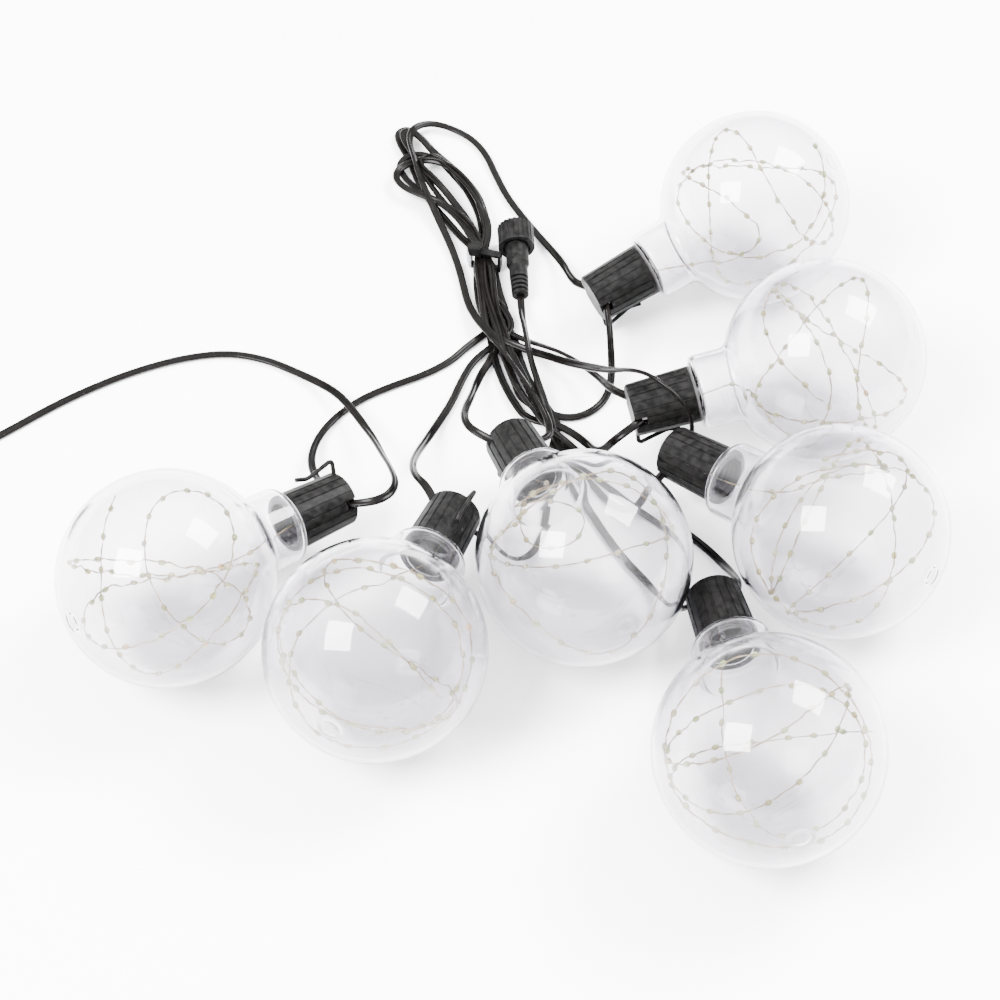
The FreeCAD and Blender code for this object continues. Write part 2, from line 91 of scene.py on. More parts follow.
def lamp_frame(number):
    """Matrix, in millimetres, that lays a lamp built on its own axis in its place."""
    x, y, tilt, heading, roll = LAMPS[number]
    tilt = math.radians(tilt)
    heading = math.radians(heading)
    along = Vector((math.cos(tilt) * math.cos(heading), math.cos(tilt) * math.sin(heading), math.sin(tilt)))
    left = Vector((-math.sin(heading), math.cos(heading), 0))
    up = along.cross(left)
    turn = Matrix((left, up, along)).transposed().to_4x4()
    return Matrix.Translation((x, y, GLOBE_R)) @ turn @ Matrix.Rotation(math.radians(roll), 4, "Z")


def exit_points(number, side, lean, reach):
    """Two points of a cable leaving a lamp's notch: in the notch, and out beyond it."""
    place = lamp_frame(number)
    out = Vector((side, 0, lean)).normalized()
    start = Vector((side * (CAVITY_R - 0.3), 0, CABLE_EXIT))
    return [place @ start, place @ (start + out * reach)]


def side_exit(number, side):
    """Start of a cable that bends away right in the mouth of its notch."""
    return lamp_frame(number) @ Vector((side * (CAVITY_R + 0.8), 0, CABLE_EXIT))


def route(points):
    return [Vector(point) for point in points]


# ---- camera ----
def make_camera():
    """Camera 52 degrees above the floor, looking along +Y."""
    data = bpy.data.cameras.new("camera")
    data.lens = 68.26
    data.sensor_width = 36.0
    camera = bpy.data.objects.new("camera", data)
    bpy.context.scene.collection.objects.link(camera)
    camera.location = (-0.0041, -0.4622, 0.5989)
    camera.rotation_euler = (math.radians(90 - 52), 0, 0)
    bpy.context.scene.camera = camera


# ---- materials ----
class Finish:
    """Node helper round one Principled shader."""

    def __init__(self, name, **values):
        self.material = bpy.data.materials.new(name)
        self.material.use_nodes = True
        self.tree = self.material.node_tree
        self.shader = self.tree.nodes["Principled BSDF"]
        for key, value in values.items():
            self.shader.inputs[key.replace("_", " ")].default_value = value
        self.place = self.node("ShaderNodeTexCoord").outputs["Object"]

    def node(self, kind, **values):
        made = self.tree.nodes.new(kind)
        for key, value in values.items():
            socket = made.inputs.get(key.replace("_", " "))
            if socket is None:
                setattr(made, key, value)
            else:
                socket.default_value = value
        return made

    def link(self, source, target):
        self.tree.links.new(source, target)

    def noise(self, scale, detail=3.0, stretch=None):
        texture = self.node("ShaderNodeTexNoise", Scale=scale, Detail=detail)
        place = self.place
        if stretch:
            mapping = self.node("ShaderNodeMapping", Scale=stretch)
            self.link(place, mapping.inputs["Vector"])
            place = mapping.outputs["Vector"]
        self.link(place, texture.inputs["Vector"])
        return texture.outputs["Fac"]

    def ramp(self, source, stops):
        """Colour ramp over stops of place and colour."""
        ramp = self.node("ShaderNodeValToRGB")
        elements = ramp.color_ramp.elements
        while len(elements) < len(stops):
            elements.new(0.5)
        for element, (position, colour) in zip(elements, stops):
            element.position = position
            element.color = (*colour, 1.0)
        self.link(source, ramp.inputs["Fac"])
        return ramp.outputs["Color"]

    def between(self, source, low, high):
        span = self.node("ShaderNodeMapRange", To_Min=low, To_Max=high)
        self.link(source, span.inputs["Value"])
        return span.outputs["Result"]

    def bump(self, source, strength, distance):
        node = self.node("ShaderNodeBump", Strength=strength, Distance=distance)
        self.link(source, node.inputs["Height"])
        self.link(node.outputs["Normal"], self.shader.inputs["Normal"])

    def colour(self, source):
        self.link(source, self.shader.inputs["Base Color"])

    def roughness(self, source):
        self.link(source, self.shader.inputs["Roughness"])


def clear_plastic():
    """Blown clear plastic: faint waves in the wall, a few hazy patches, and painted shade that darkens the
    edge where the wall is seen edge-on.
    """
    finish = Finish("clear_plastic", Transmission_Weight=1.0, IOR=1.46)
    haze = finish.ramp(finish.noise(30.0), [
        (0.3, (0.9, 0.893, 0.92)), (0.7, (0.95, 0.945, 0.965))])
    # Painted shade: the colour darkens towards the globe's outline, where the wall is seen at a grazing
    # angle, in place of the darker surroundings seen in and through the rim.
    facing = finish.node("ShaderNodeLayerWeight", Blend=0.4).outputs["Facing"]
    painted_rim_shade = finish.ramp(facing, [
        (0.0, (1, 1, 1)), (0.45, (0.975, 0.97, 0.982)), (0.75, (0.86, 0.845, 0.885)),
        (1.0, (0.5, 0.48, 0.54))])
    tint = finish.node("ShaderNodeMixRGB", blend_type="MULTIPLY", Fac=1.0)
    finish.link(haze, tint.inputs["Color1"])
    finish.link(painted_rim_shade, tint.inputs["Color2"])
    finish.colour(tint.outputs["Color"])
    finish.roughness(finish.between(finish.noise(45.0, 5.0), 0.0, 0.035))
    finish.bump(finish.noise(38.0, 1.0), 0.12, 0.0006)
    return finish.material


def black_plastic(name, low, high, rough):
    """Moulded black plastic with fine spark grain, paler scuffs and uneven sheen."""
    finish = Finish(name, Specular_IOR_Level=0.035)
    scuffs = finish.noise(420.0, 6.0)
    finish.colour(finish.ramp(scuffs, [(0.35, (low,) * 3), (0.62, (high, high * 0.97, high * 0.95))]))
    finish.roughness(finish.between(finish.noise(160.0, 4.0), rough - 0.1, rough + 0.12))
    finish.bump(finish.noise(2600.0, 2.0), 0.25, 0.00012)
    return finish.material


def cable_sleeve():
    """Charcoal sleeve of the twin cable, drawn lengthwise, with a soft uneven gloss."""
    finish = Finish("cable_sleeve", Specular_IOR_Level=0.06)
    finish.colour(finish.ramp(finish.noise(240.0, 5.0), [
        (0.3, (0.001, 0.00085, 0.0008)), (0.75, (0.0032, 0.0027, 0.0025))]))
    finish.roughness(finish.between(finish.noise(90.0, 3.0), 0.16, 0.28))
    finish.bump(finish.noise(900.0, 3.0), 0.2, 0.0001)
    return finish.material


def wire_metal():
    """Varnished copper wire, champagne where the varnish is thick and silvery where it is thin."""
    finish = Finish("wire_metal", Metallic=1.0)
    finish.colour(finish.ramp(finish.noise(300.0), [
        (0.35, (0.27, 0.195, 0.105)), (0.7, (0.42, 0.34, 0.225))]))
    finish.roughness(finish.between(finish.noise(500.0), 0.22, 0.4))
    finish.bump(finish.noise(1800.0), 0.2, 0.00005)
    return finish.material


def resin_drop():
    """Clear resin over a lit chip: pale with warm and greenish cores."""
    finish = Finish("resin_drop", Transmission_Weight=0.55, IOR=1.5, Coat_Weight=0.4)
    finish.colour(finish.ramp(finish.noise(70.0, 1.0), [
        (0.34, (0.5, 0.46, 0.17)), (0.5, (0.62, 0.56, 0.36)),
        (0.62, (0.4, 0.5, 0.17)), (0.74, (0.72, 0.36, 0.13))]))
    finish.roughness(finish.between(finish.noise(400.0), 0.06, 0.2))
    finish.bump(finish.noise(700.0), 0.2, 0.0001)
    return finish.material


def board_finish():
    """Pale solder mask with copper-coloured flecks and a white potted block."""
    finish = Finish("board_finish")
    finish.colour(finish.ramp(finish.noise(500.0, 2.0), [
        (0.3, (0.5, 0.52, 0.5)), (0.45, (0.86, 0.86, 0.84)), (0.7, (0.93, 0.93, 0.9))]))
    finish.roughness(finish.between(finish.noise(300.0), 0.3, 0.5))
    finish.bump(finish.noise(900.0), 0.3, 0.0002)
    return finish.material


def rubber_finish():
    """Matt dark rubber."""
    finish = Finish("rubber_finish", Specular_IOR_Level=0.3)
    finish.colour(finish.ramp(finish.noise(350.0, 4.0), [(0.3, (0.02,) * 3), (0.7, (0.045, 0.043, 0.042))]))
    finish.roughness(finish.between(finish.noise(220.0), 0.6, 0.8))
    finish.bump(finish.noise(1500.0), 0.3, 0.0001)
    return finish.material


def pin_metal():
    """Brass of the contacts."""
    finish = Finish("pin_metal", Metallic=1.0)
    finish.colour(finish.ramp(finish.noise(600.0), [(0.3, (0.72, 0.55, 0.27)), (0.7, (0.86, 0.72, 0.45))]))
    finish.roughness(finish.between(finish.noise(900.0), 0.2, 0.35))
    finish.bump(finish.noise(2500.0), 0.15, 0.00005)
    return finish.material


def floor_finish():
    """Pale matt table."""
    finish = Finish("floor_finish", Specular_IOR_Level=0.1)
    finish.colour(finish.ramp(finish.noise(6.0, 2.0), [(0.3, (0.9, 0.9, 0.905)), (0.7, (0.92, 0.92, 0.92))]))
    finish.roughness(finish.between(finish.noise(20.0), 0.75, 0.9))
    return finish.material


# ---- mesh helpers ----
def mesh_piece(name, points, faces, material, smooth_below=40.0):
    """Mesh object from points in millimetres."""
    mesh = bpy.data.meshes.new(name)
    mesh.from_pydata([tuple(c * MM for c in point) for point in points], [], faces)
    mesh.validate()
    for polygon in mesh.polygons:
        polygon.use_smooth = True
    mesh.set_sharp_from_angle(angle=math.radians(smooth_below))
    mesh.materials.append(material)
    piece = bpy.data.objects.new(name, mesh)
    bpy.context.scene.collection.objects.link(piece)
    return piece


def arc(centre_r, centre_z, radius, start, end, count):
    """Points of an arc in a lathe outline, from one angle in degrees to another."""
    points = []
    for index in range(count + 1):
        angle = math.radians(start + (end - start) * index / count)
        points.append((centre_r + radius * math.cos(angle), centre_z + radius * math.sin(angle)))
    return points


def lathe(name, outline, place, material, steps=96):
    """Closed outline of radius and height turned round the lamp's axis."""
    points = []
    faces = []
    count = len(outline)
    for step in range(steps):
        turn = 2 * math.pi * step / steps
        for radius, height in outline:
            radius = max(radius, 0.01)
            points.append(place @ Vector((radius * math.cos(turn), radius * math.sin(turn), height)))
        for index in range(count - 1):
            here = step * count + index
            there = (step + 1) % steps * count + index
            faces.append((here, there, there + 1, here + 1))
    return mesh_piece(name, points, faces, material)


def globe_outline():
    """Outline of the hollow globe, from its outer pole round the neck and back to its inner pole."""
    fillet_r = NECK_R + NECK_FILLET
    fillet_z = math.sqrt((GLOBE_R + NECK_FILLET) ** 2 - fillet_r ** 2)
    meet = math.degrees(math.atan2(fillet_z, fillet_r))
    round_r = NECK_R - NECK_ROUND
    round_z = NECK_END - NECK_ROUND
    outline = arc(0, 0, GLOBE_R, -90, -85.6, 3)
    outline += arc(0, 0, GLOBE_R + GATE_RISE, -85.2, -84.8, 1)
    outline += arc(0, 0, GLOBE_R, -84.4, meet, 60)
    outline += arc(fillet_r, fillet_z, NECK_FILLET, meet - 180, -180, 8)[1:]
    outline += [(NECK_R, round_z)]
    outline += arc(round_r, round_z, NECK_ROUND, 0, 90, 8)[1:]
    outline += [(SPIGOT_R, NECK_END)]
    for ring in range(3):
        height = NECK_END + 2.8 + ring * 2.0
        outline += [(SPIGOT_R, height - 0.6), (SPIGOT_R + THREAD_RISE, height - 0.2),
                    (SPIGOT_R + THREAD_RISE, height + 0.2), (SPIGOT_R, height + 0.6)]
    outline += [(SPIGOT_R, SPIGOT_END), (SPIGOT_BORE_R, SPIGOT_END), (SPIGOT_BORE_R, NECK_END - WALL)]
    outline += arc(round_r, round_z, NECK_ROUND - WALL, 90, 0, 6)
    outline += [(NECK_R - WALL, fillet_z)]
    outline += arc(fillet_r, fillet_z, NECK_FILLET + WALL, -180, meet - 180, 8)[1:]
    outline += arc(0, 0, GLOBE_R - WALL, meet, -90, 60)[1:]
    return outline


# ---- cords ----
def spline_points(points, per_run=6):
    """Points along the smooth NURBS line led by the route."""
    curve = bpy.data.curves.new("line", "CURVE")
    curve.dimensions = "3D"
    curve.resolution_u = per_run
    spline = curve.splines.new("NURBS")
    spline.points.add(len(points) - 1)
    for target, point in zip(spline.points, points):
        target.co = (*[c * MM for c in point], 1.0)
    spline.order_u = 3
    spline.use_endpoint_u = True
    holder = bpy.data.objects.new("line", curve)
    bpy.context.scene.collection.objects.link(holder)
    bpy.context.view_layer.update()
    mesh = bpy.data.meshes.new_from_object(holder)
    line = [vertex.co.copy() / MM for vertex in mesh.vertices]
    bpy.data.objects.remove(holder)
    bpy.data.meshes.remove(mesh)
    kept = [line[0]]
    for point in line[1:]:
        if (point - kept[-1]).length > 0.4:
            kept.append(point)
    return kept


def twin_section(count=8):
    """Outline of the flat twin cable: two round halves with a groove between them."""
    half = CABLE_THICK / 2
    outline = []
    for side in (1, -1):
        for index in range(count):
            angle = math.radians(-140 + 280 * index / (count - 1))
            outline.append((side * (half + half * math.cos(angle)), side * half * math.sin(angle)))
    return outline


def cord_frames(line, phase):
    """Across and up directions along a cable, level where it lies and slowly twisted where it is free."""
    frames = []
    before = None
    run = 0.0
    for index, point in enumerate(line):
        ahead = line[min(index + 1, len(line) - 1)]
        behind = line[max(index - 1, 0)]
        along = (ahead - behind).normalized()
        level = Vector((-along.y, along.x, 0))
        if before is None:
            across = level if level.length > 0.1 else Vector((1, 0, 0))
        else:
            share = min(1.0, level.length) ** 2 * 0.35
            if level.dot(before) < 0:
                level = -level
            across = before * (1 - share) + level.normalized() * share
        across = (across - along * across.dot(along)).normalized()
        before = across
        run += (point - behind).length if index else 0.0
        swing = min(1.0, max(0.0, (point.z - 2.0) / 6.0))
        twist = math.radians(8 + 50 * swing) * math.sin(run / 24.0 + phase)
        up = along.cross(across)
        frames.append((across * math.cos(twist) + up * math.sin(twist),
                       up * math.cos(twist) - across * math.sin(twist)))
    return frames


def twin_cable(name, line, material, phase):
    """Mesh of the flat twin cable along a line, closed at both ends."""
    section = twin_section()
    count = len(section)
    points = []
    faces = []
    for index, (point, (across, up)) in enumerate(zip(line, cord_frames(line, phase))):
        for wide, thick in section:
            points.append(point + across * wide + up * thick)
        if index:
            for corner in range(count):
                following = (corner + 1) % count
                base = (index - 1) * count
                faces.append((base + corner, base + following,
                          base + count + following, base + count + corner))
    faces.append(tuple(range(count))[::-1])
    faces.append(tuple(range(len(points) - count, len(points))))
    return mesh_piece(name, points, faces, material, 80.0)


def coil_points():
    """Turns of the put-away lead: beside each other and in layers, wound clockwise."""
    turns = []
    for layer in range(COIL_LAYERS):
        for radius in (COIL_RADII if layer % 2 == 0 else COIL_RADII[::-1]):
            turns.append((radius, 1.6 + 2.1 * layer))
    turns.append(turns[-1])
    points = []
    centre_x, centre_y = COIL_CENTRE
    for turn in range(len(turns) - 1):
        for step in range(COIL_STEPS):
            share = step / COIL_STEPS
            ease = max(0.0, (share - 0.6) / 0.4)
            radius = turns[turn][0] + (turns[turn + 1][0] - turns[turn][0]) * ease
            height = turns[turn][1] + (turns[turn + 1][1] - turns[turn][1]) * ease
            angle = math.radians(-90 - 360 * share)
            points.append(Vector((centre_x + radius * math.cos(angle),
                                  centre_y + radius * math.sin(angle), height)))
    for degrees in (-90, -115, -140):
        angle = math.radians(degrees)
        points.append(Vector((centre_x + 25.4 * math.cos(angle), centre_y + 25.4 * math.sin(angle), 8.2)))
    return points


# Middle of the tied strands from the tie down to where they fan out.
BUNDLE = [(-10.6, 136.5, 2.3), (-9.4, 126, 2.9), (-8.2, 115, 3.3), (-6.2, 103, 3.5), (-3.8, 92, 3.5),
          (-1, 80, 3.5), (3, 68, 3.5), (7, 57.5, 3.6), (11, 48.5, 3.6), (15, 41, 3.5)]


def lane(column, layer, first, last):
    """Points of one strand in the bundle between two of its stations."""
    step = 1 if last >= first else -1
    points = []
    for station in range(first, last + step, step):
        x, y, gap = BUNDLE[station]
        before = BUNDLE[max(station - 1, 0)]
        after = BUNDLE[min(station + 1, len(BUNDLE) - 1)]
        along = Vector((after[0] - before[0], after[1] - before[1], 0)).normalized()
        across = Vector((-along.y, along.x, 0))
        sway = 0.8 * math.sin(station * 1.3 + column * 2.1 + layer)
        points.append(Vector((x, y, 2.2 + 1.95 * layer)) - across * ((column - 1.5) * gap + sway * gap / 3.5))
    return points


# Loops of the folded cables above the tie, up one side and down the other.
LOOPS = [
    [(-20, 151, 2), (-27.5, 163, 2), (-36, 176, 2.2), (-42, 190, 2.5), (-46, 204, 2.6), (-51, 215, 2.5),
     (-52.5, 223, 2.4), (-47.5, 226, 2.4), (-41.5, 220, 2.6), (-35.5, 209.5, 3), (-28, 199, 4.5),
     (-20, 188, 5.6), (-13.5, 176.5, 5.6), (-10, 163, 5), (-9, 151, 4.5)],
    [(-17, 152, 4), (-23.5, 164, 4.6), (-32, 177, 5), (-38.5, 190, 5.2), (-43.5, 204, 5), (-48.5, 214, 4.8),
     (-50, 221.5, 4.6), (-45.5, 222.5, 4.6), (-40, 215, 4.6), (-32, 203, 3), (-24, 192, 2),
     (-17, 180, 2), (-13, 166, 2), (-11.5, 152, 2.2)],
    [(-14, 150, 6.5), (-19.5, 160, 6.5), (-28, 169, 6.6), (-38, 175.5, 6.6), (-47, 180.5, 6.2),
     (-52, 187.5, 5.8), (-51, 194.5, 5.6), (-44, 199, 6), (-35.5, 199.5, 7), (-27.5, 195, 7.3),
     (-20.5, 186.5, 7.4), (-14.5, 175, 7.2), (-11.5, 161, 7), (-9.5, 150, 6.6)],
    [(-17, 149, 7.6), (-24, 161, 7.4), (-32, 172, 6), (-40, 181, 3.8), (-47.5, 190, 3.4), (-51, 198, 3.4),
     (-48.5, 204.5, 3.6), (-41.5, 206, 5), (-33, 200.5, 6.8), (-25.5, 191, 7.2), (-18, 180, 7.4),
     (-12, 167, 7.2), (-8.5, 154, 6.8)],
    [(-13.5, 152, 2.2), (-18.5, 164, 2.4), (-26, 176, 4), (-33.5, 186, 6.6), (-40.5, 194, 7),
     (-41.5, 200, 7), (-36, 203.5, 7), (-28.5, 199, 6.6), (-21.5, 188, 3), (-15, 174, 1.8),
     (-12, 160, 1.8), (-9.5, 150, 2)],
]


def cable_routes():
    """Route of each cable from its first lamp to its second, and the lead's and connector's."""
    loops = [route(points) for points in LOOPS]
    lead = exit_points(1, 1, 0.5, 8.0) + route([
        (-46.5, -16.8, 31.3), (-43.7, -9, 29.5), (-46.6, 2.5, 24.5), (-50.5, 14, 18.5), (-54.5, 26, 13.5),
        (-59.5, 37, 9.5), (-65, 47.5, 7.4), (-71.5, 56.5, 6.9), (-79.5, 65, 3.6), (-90, 73, 1.6),
        (-104, 80.5, 1.5), (-120, 84, 1.5), (-137, 81.5, 1.5), (-154, 75.5, 1.5), (-171.5, 66.5, 1.5),
        (-189.5, 54.5, 1.5), (-207, 40, 1.5), (-224, 27.5, 1.5), (-236, 21.5, 1.6)])
    lead += coil_points() + route([
        (-274.3, 36, 8.3), (-276, 47, 8.0), (-276.3, 58, 7.5), (-274.8, 69, 6.7), (-275, 80, 6.4),
        (-275, 83.5, 6.5)])
    first_second = exit_points(1, -1, 1.2, 7.0) + route([
        (-76, 6, 12), (-79.5, 15, 8.5), (-80.5, 26, 5), (-78, 38, 2.5), (-71.5, 49, 1.5),
        (-61.5, 58.5, 1.5), (-49, 65.5, 1.5), (-36, 71.5, 1.5), (-25, 79, 1.5), (-17.5, 88.5, 1.5)])
    first_second += lane(0, 0, 3, 0) + loops[0] + lane(3, 1, 0, 1) + lane(0, 1, 3, 4) + route([
        (-14.5, 81, 1.9), (-20, 69, 1.5), (-24, 56.5, 1.5), (-29.5, 44, 2.5), (-34, 31, 7), (-37.5, 18, 14),
        (-38.5, 6, 22), (-37, -4, 28)]) + exit_points(2, -1, 0.8, 7.0)[::-1]
    second_third = exit_points(2, 1, 0.0, 7.0) + route([
        (-3.5, -31, 12), (3, -29, 6.5), (9, -21.5, 2.6), (12.5, -10.5, 1.5), (14.5, 2, 1.5), (15, 14.5, 1.5),
        (16, 26, 1.5)])
    second_third += lane(0, 0, 9, 4) + lane(1, 0, 3, 0) + loops[1] + lane(2, 0, 0, 2) + lane(1, 1, 3, 4)
    second_third += route([
        (-7.5, 80.5, 2.2), (-12, 71, 2.8), (-14.5, 60, 6.5), (-16, 49, 12.5), (-18, 38, 19),
        (-18.5, 27.5, 24.3)])
    second_third += exit_points(3, 1, 0.8, 9.0)[::-1]
    third_seventh = exit_points(3, -1, 0.9, 6.0) + route([
        (15.6, 29, 12), (16.2, 34, 9.6), (15.2, 42, 8.5), (10.5, 53.5, 8.6), (4, 66, 8.8), (-2.5, 78, 8.8),
        (-9, 89.5, 8), (-14.5, 100.5, 5.5), (-18.2, 112, 3), (-20.3, 124, 2.4), (-22.7, 136, 2.3),
        (-26.5, 149, 2.6), (-31.5, 162, 4), (-37, 175.5, 7.4), (-41.3, 188.5, 8.4), (-44, 201, 8.2),
        (-46.3, 211.5, 6.6), (-46, 220.5, 5.8), (-41, 226, 5.2), (-33.5, 227.5, 4), (-25, 225, 2.4),
        (-17, 219.5, 1.6), (-10.5, 209, 1.5), (-6, 194.5, 1.5), (-1, 180.5, 1.5), (5.5, 168, 1.5),
        (12.5, 156, 1.6), (19, 144, 3), (24, 132, 6), (26.5, 121, 9.5)]) + exit_points(7, -1, 0.5, 7.0)[::-1]
    seventh_sixth = exit_points(7, 1, 0.3, 8.0) + route([
        (41.9, 77.7, 17.4), (42.5, 71.5, 10.5), (42.5, 65, 5), (40, 57.5, 1.8), (34, 51, 1.5),
        (26.5, 47.5, 1.5), (18.5, 48.5, 1.7)])
    seventh_sixth += lane(2, 0, 7, 3) + lane(2, 0, 2, 0) + loops[4] + lane(3, 0, 0, 3) + route([
        (6, 88.5, 4.6), (16.5, 83, 6), (25.5, 75.5, 8.5), (32.5, 67.5, 9.5), (37.5, 59, 13), (40, 50.5, 18)])
    seventh_sixth += exit_points(6, -1, 0.7, 7.0)[::-1]
    sixth_fifth = exit_points(6, 1, 1.5, 7.6) + route([
        (39.8, 13.8, 26.5), (37, 16.9, 17.8), (34, 22.5, 10.6), (31, 30.2, 6), (26.5, 37.5, 3),
        (20, 43, 2.4)])
    sixth_fifth += lane(3, 0, 8, 4) + lane(2, 1, 3, 0) + loops[2] + lane(3, 2, 0, 4) + route([
        (8, 82, 5.2), (15.5, 77.5, 7), (22.5, 71, 10.5), (29, 63.5, 16.5), (35, 55.5, 23.5), (41, 47, 31.5),
        (47.6, 39.2, 40.8), (53.8, 33, 45.2), (60.3, 26.9, 45.3), (66.8, 21.5, 42.1), (71.3, 17.7, 35.3)])
    sixth_fifth += [side_exit(5, -1)]
    fifth_fourth = exit_points(5, 1, 0.2, 6.0) + route([
        (52.8, -3.4, 12.5), (48.8, -3.6, 7), (43.5, 0.5, 3), (38, 7.5, 1.5), (33.4, 15.8, 1.5), (28, 23, 1.5),
        (22.5, 31.5, 1.8)])
    fifth_fourth += lane(1, 1, 9, 5) + lane(1, 2, 4, 0) + loops[3] + lane(2, 2, 0, 9) + route([
        (22, 33, 5.4), (29, 24, 6), (36, 14.5, 6), (43.5, 6.5, 5.6), (52, 0, 3), (61, -5.5, 1.5),
        (69.5, -12, 1.5), (76.5, -20, 2.4), (81, -29, 6), (83.5, -37.5, 11.5), (84.5, -45, 18)])
    fifth_fourth += exit_points(4, -1, 2.6, 6.0)[::-1]
    connector = [side_exit(4, 1)] + route([
        (62.4, -57.8, 14.1), (60.3, -51.5, 8.5), (57.5, -44, 4), (53, -35.5, 1.7), (44.5, -24.5, 1.5),
        (37.5, -12, 1.5), (31, 1.5, 1.5), (26.5, 14, 1.5), (21, 27.5, 1.8), (17.5, 40, 4.5),
        (14, 53, 6.6), (11, 64.5, 8), (8.6, 74.2, 9.2), (7.3, 83.2, 10), (6.3, 92.2, 9), (5.5, 100.7, 6),
        (5.1, 109.2, 3.9), (4.6, 118.5, 5.1)])
    return {
        "lead": lead,
        "cable_1_2": first_second,
        "cable_2_3": second_third,
        "cable_3_7": third_seventh,
        "cable_7_6": seventh_sixth,
        "cable_6_5": sixth_fifth,
        "cable_5_4": fifth_fourth,
        "connector_lead": connector,
    }


def make_cords(material):
    for index, (name, points) in enumerate(cable_routes().items()):
        line = spline_points(points)
        piece = twin_cable(name + "_cord", line, material, index * 1.9)
        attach(piece, BODY)
        stands_for = [name]
        if name == "lead":
            stands_for += ["lead_coil"]
        if name == "cable_6_5":
            stands_for += ["hank"]
        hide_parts(*stands_for)


# ---- light wires ----
def light_points(number):
    """Places of the light drops: loose turns round the inside of the globe, from the board out."""
    points = [Vector((1.5, 0, BOARD_END)), Vector((3.0, 0, 52.0))]
    for index in range(LED_COUNT):
        along = index * 0.92 + number * 1.64 + 0.12
        sway = 0.75 * math.sin(index * 0.41 + number) + 0.25 * math.sin(index * 1.9 + 2 * number)
        plane = index * 0.23 + number * 0.9
        ring = Vector((math.cos(along), math.sin(along) * math.cos(plane), math.sin(along) * math.sin(plane)))
        ring = ring + Vector((0, 0.35 * sway, 0.35 * math.cos(plane) * sway))
        ring.normalize()
        if index == 0:
            ring = (ring + Vector((0, 0, 2.6))).normalized()
        elif number == TANGLED and index < 11:
            ring = (ring + Vector((0, 0, 1.6))).normalized()
        radius = WIND_R - 1.6 * math.sin(index * 2.4 + number) ** 2 - UNSCREWED * max(0.0, ring.z)
        points.append(ring * radius)
    return points


def spread_out(line, number):
    """Springs the light wire out towards the wall, with the small kinks left from its reel."""
    spread = []
    run = 0.0
    for index, point in enumerate(line):
        run += (point - line[max(index - 1, 0)]).length
        share = min(1.0, max(0.0, (34.0 - point.z) / 10.0))
        reach = WIND_R - UNSCREWED * max(0.0, point.z) / point.length
        kink = 1.1 * math.sin(run * 0.23 + number) * math.sin(run * 0.61 + 2 * number)
        side = Vector((point.y, -point.x, 0.4 * point.x)) / WIND_R
        moved = point + side * (kink * share)
        spread.append(moved * (1 + share * (0.75 * (reach - moved.length) - 0.5 * abs(kink)) / moved.length))
    return spread


def round_wire(points, faces, line, radius, swing, phase):
    """Adds one fine strand that winds loosely round the line."""
    sides = 6
    start = len(points)
    run = 0.0
    for index, point in enumerate(line):
        ahead = line[min(index + 1, len(line) - 1)]
        behind = line[max(index - 1, 0)]
        along = (ahead - behind).normalized()
        run += (point - behind).length
        across = along.orthogonal().normalized()
        up = along.cross(across)
        angle = run / 2.2 + phase
        centre = point + (across * math.cos(angle) + up * math.sin(angle)) * swing
        for side in range(sides):
            turn = 2 * math.pi * side / sides
            points.append(centre + (across * math.cos(turn) + up * math.sin(turn)) * radius)
        if index:
            base = start + (index - 1) * sides
            for side in range(sides):
                following = (side + 1) % sides
                faces.append((base + side, base + following, base + sides + following, base + sides + side))


def drop(points, faces, centre, along, size):
    """Adds one drop of resin, longer along the wire and slumped a little."""
    rings, sides = 7, 10
    across = along.orthogonal().normalized()
    up = along.cross(across)
    start = len(points)
    for ring in range(rings + 1):
        angle = math.pi * ring / rings
        width = max(0.02, math.sin(angle) ** 0.8) * size
        for side in range(sides):
            turn = 2 * math.pi * side / sides
            spread = width * (1 + 0.12 * math.cos(turn))
            points.append(centre - along * (math.cos(angle) * size * 1.35)
                          + (across * math.cos(turn) + up * math.sin(turn)) * spread)
        if ring:
            base = start + (ring - 1) * sides
            for side in range(sides):
                following = (side + 1) % sides
                faces.append((base + side, base + following, base + sides + following, base + sides + side))


def make_light_wires(wire, resin):
    for number in LAMPS:
        place = lamp_frame(number)
        line = [place @ point for point in spread_out(spline_points(light_points(number), 12), number)]
        points, faces = [], []
        round_wire(points, faces, line, STRAND_R, STRAND_SWING, 0.0)
        round_wire(points, faces, line, STRAND_R, STRAND_SWING, math.pi)
        piece = mesh_piece("light_wire_%d_strands" % number, points, faces, wire, 80.0)
        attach(piece, BODY)
        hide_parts("light_wire_%d" % number)
        points, faces = [], []
        run = 0.0
        following = FIRST_DROP
        for before, here in zip(line, line[1:]):
            run += (here - before).length
            if run >= following:
                drop(points, faces, here, (here - before).normalized(), DROP_R)
                following += DROP_GAP
        drops = mesh_piece("light_drops_%d" % number, points, faces, resin, 80.0)
        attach(drops, BODY)


def make_globes(material):
    outline = globe_outline()
    for number in LAMPS:
        globe = lathe("globe_%d_shell" % number, outline, lamp_frame(number), material)
        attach(globe, "globe_%d" % number)
        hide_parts("globe_%d" % number)


def clear_nylon():
    """Cloudy clear nylon of the tie's short end."""
    finish = Finish("clear_nylon", Transmission_Weight=0.6, IOR=1.5)
    finish.colour(finish.ramp(finish.noise(200.0), [(0.3, (0.6, 0.62, 0.65)), (0.7, (0.8, 0.82, 0.84))]))
    finish.roughness(finish.between(finish.noise(350.0), 0.15, 0.35))
    finish.bump(finish.noise(900.0), 0.2, 0.0001)
    return finish.material


def clear_tail(material):
    """The tie's short end, below its head on the hank's left, is the clear part of the moulding."""
    low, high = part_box("cable_tie")
    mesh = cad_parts["cable_tie"].data
    mesh.materials.append(material)
    for polygon in mesh.polygons:
        if polygon.center.x < low.x + 0.0016 and polygon.center.z < 0.0082:
            polygon.material_index = 1


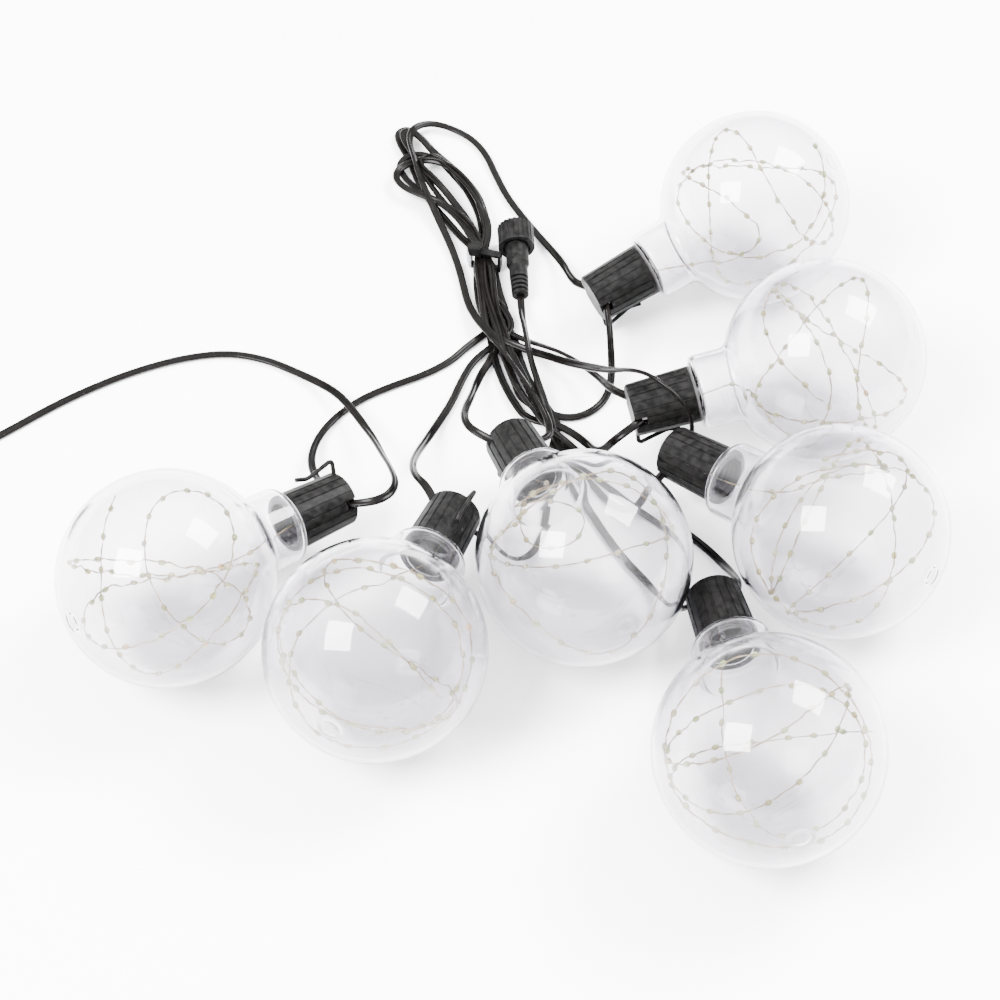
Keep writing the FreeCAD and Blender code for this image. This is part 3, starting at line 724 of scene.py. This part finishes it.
def finish_nodes(finishes):
    """Materials of the CAD nodes that stay."""
    for name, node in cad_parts.items():
        for start, material in finishes.items():
            if name.startswith(start):
                node.data.materials.clear()
                node.data.materials.append(material)
                for polygon in node.data.polygons:
                    polygon.material_index = 0


# ---- light and floor ----
def soft_box(name, place, target, size, power):
    light = bpy.data.lights.new(name, "AREA")
    light.shape = "SQUARE"
    light.size = size
    light.energy = power
    holder = bpy.data.objects.new(name, light)
    bpy.context.scene.collection.objects.link(holder)
    holder.location = place
    facing = Vector(target) - Vector(place)
    holder.rotation_euler = (facing.to_track_quat("-Z", "Y").to_matrix().to_4x4()
                             @ Matrix.Rotation(math.radians(45), 4, "Z")).to_euler()


# Studio sky: height of the direction, and how bright it is there.
SKY_STEPS = [(0.0, 0.3), (0.12, 0.2), (0.42, 0.2), (0.7, 0.85), (1.0, 1.0)]


def make_stage(material):
    points = [(-3000, -3000, 0), (3000, -3000, 0), (3000, 3000, 0), (-3000, 3000, 0)]
    floor = mesh_piece("floor", points, [(0, 1, 2, 3)], material)
    soft_box("soft_box_left", (-0.9, -0.5, 1.3), (0, 0, 0), 0.75, 170.0)
    soft_box("soft_box_right", (0.9, 0.5, 1.3), (0, 0, 0), 0.75, 130.0)
    world = bpy.data.worlds.new("studio")
    world.use_nodes = True
    tree = world.node_tree
    place = tree.nodes.new("ShaderNodeTexCoord")
    split = tree.nodes.new("ShaderNodeSeparateXYZ")
    ramp = tree.nodes.new("ShaderNodeValToRGB")
    elements = ramp.color_ramp.elements
    for position in SKY_STEPS[1:-1]:
        elements.new(position[0])
    for element, (position, level) in zip(elements, SKY_STEPS):
        element.position = position
        element.color = (level, level, level * 1.01, 1.0)
    tree.links.new(place.outputs["Generated"], split.inputs[0])
    tree.links.new(split.outputs["Z"], ramp.inputs["Fac"])
    tree.links.new(ramp.outputs["Color"], tree.nodes["Background"].inputs["Color"])
    tree.nodes["Background"].inputs["Strength"].default_value = 7.5
    bpy.context.scene.world = world


make_camera()
black = black_plastic("black_plastic", 0.0016, 0.0068, 0.42)
make_cords(cable_sleeve())
make_light_wires(wire_metal(), resin_drop())
make_globes(clear_plastic())
pins = pin_metal()
rubber = rubber_finish()
finish_nodes({
    "socket": black,
    "hanging_clip": black,
    "circuit_board": board_finish(),
    "seal_ring": rubber,
    "cable_tie": black_plastic("tie_nylon", 0.0015, 0.005, 0.28),
    "connector_body": black,
    "coupling_nut": black,
    "connector_seal": rubber,
    "connector_contacts": pins,
    "plug_body": black,
    "plug_contacts": pins,
})
clear_tail(clear_nylon())
make_stage(floor_finish())
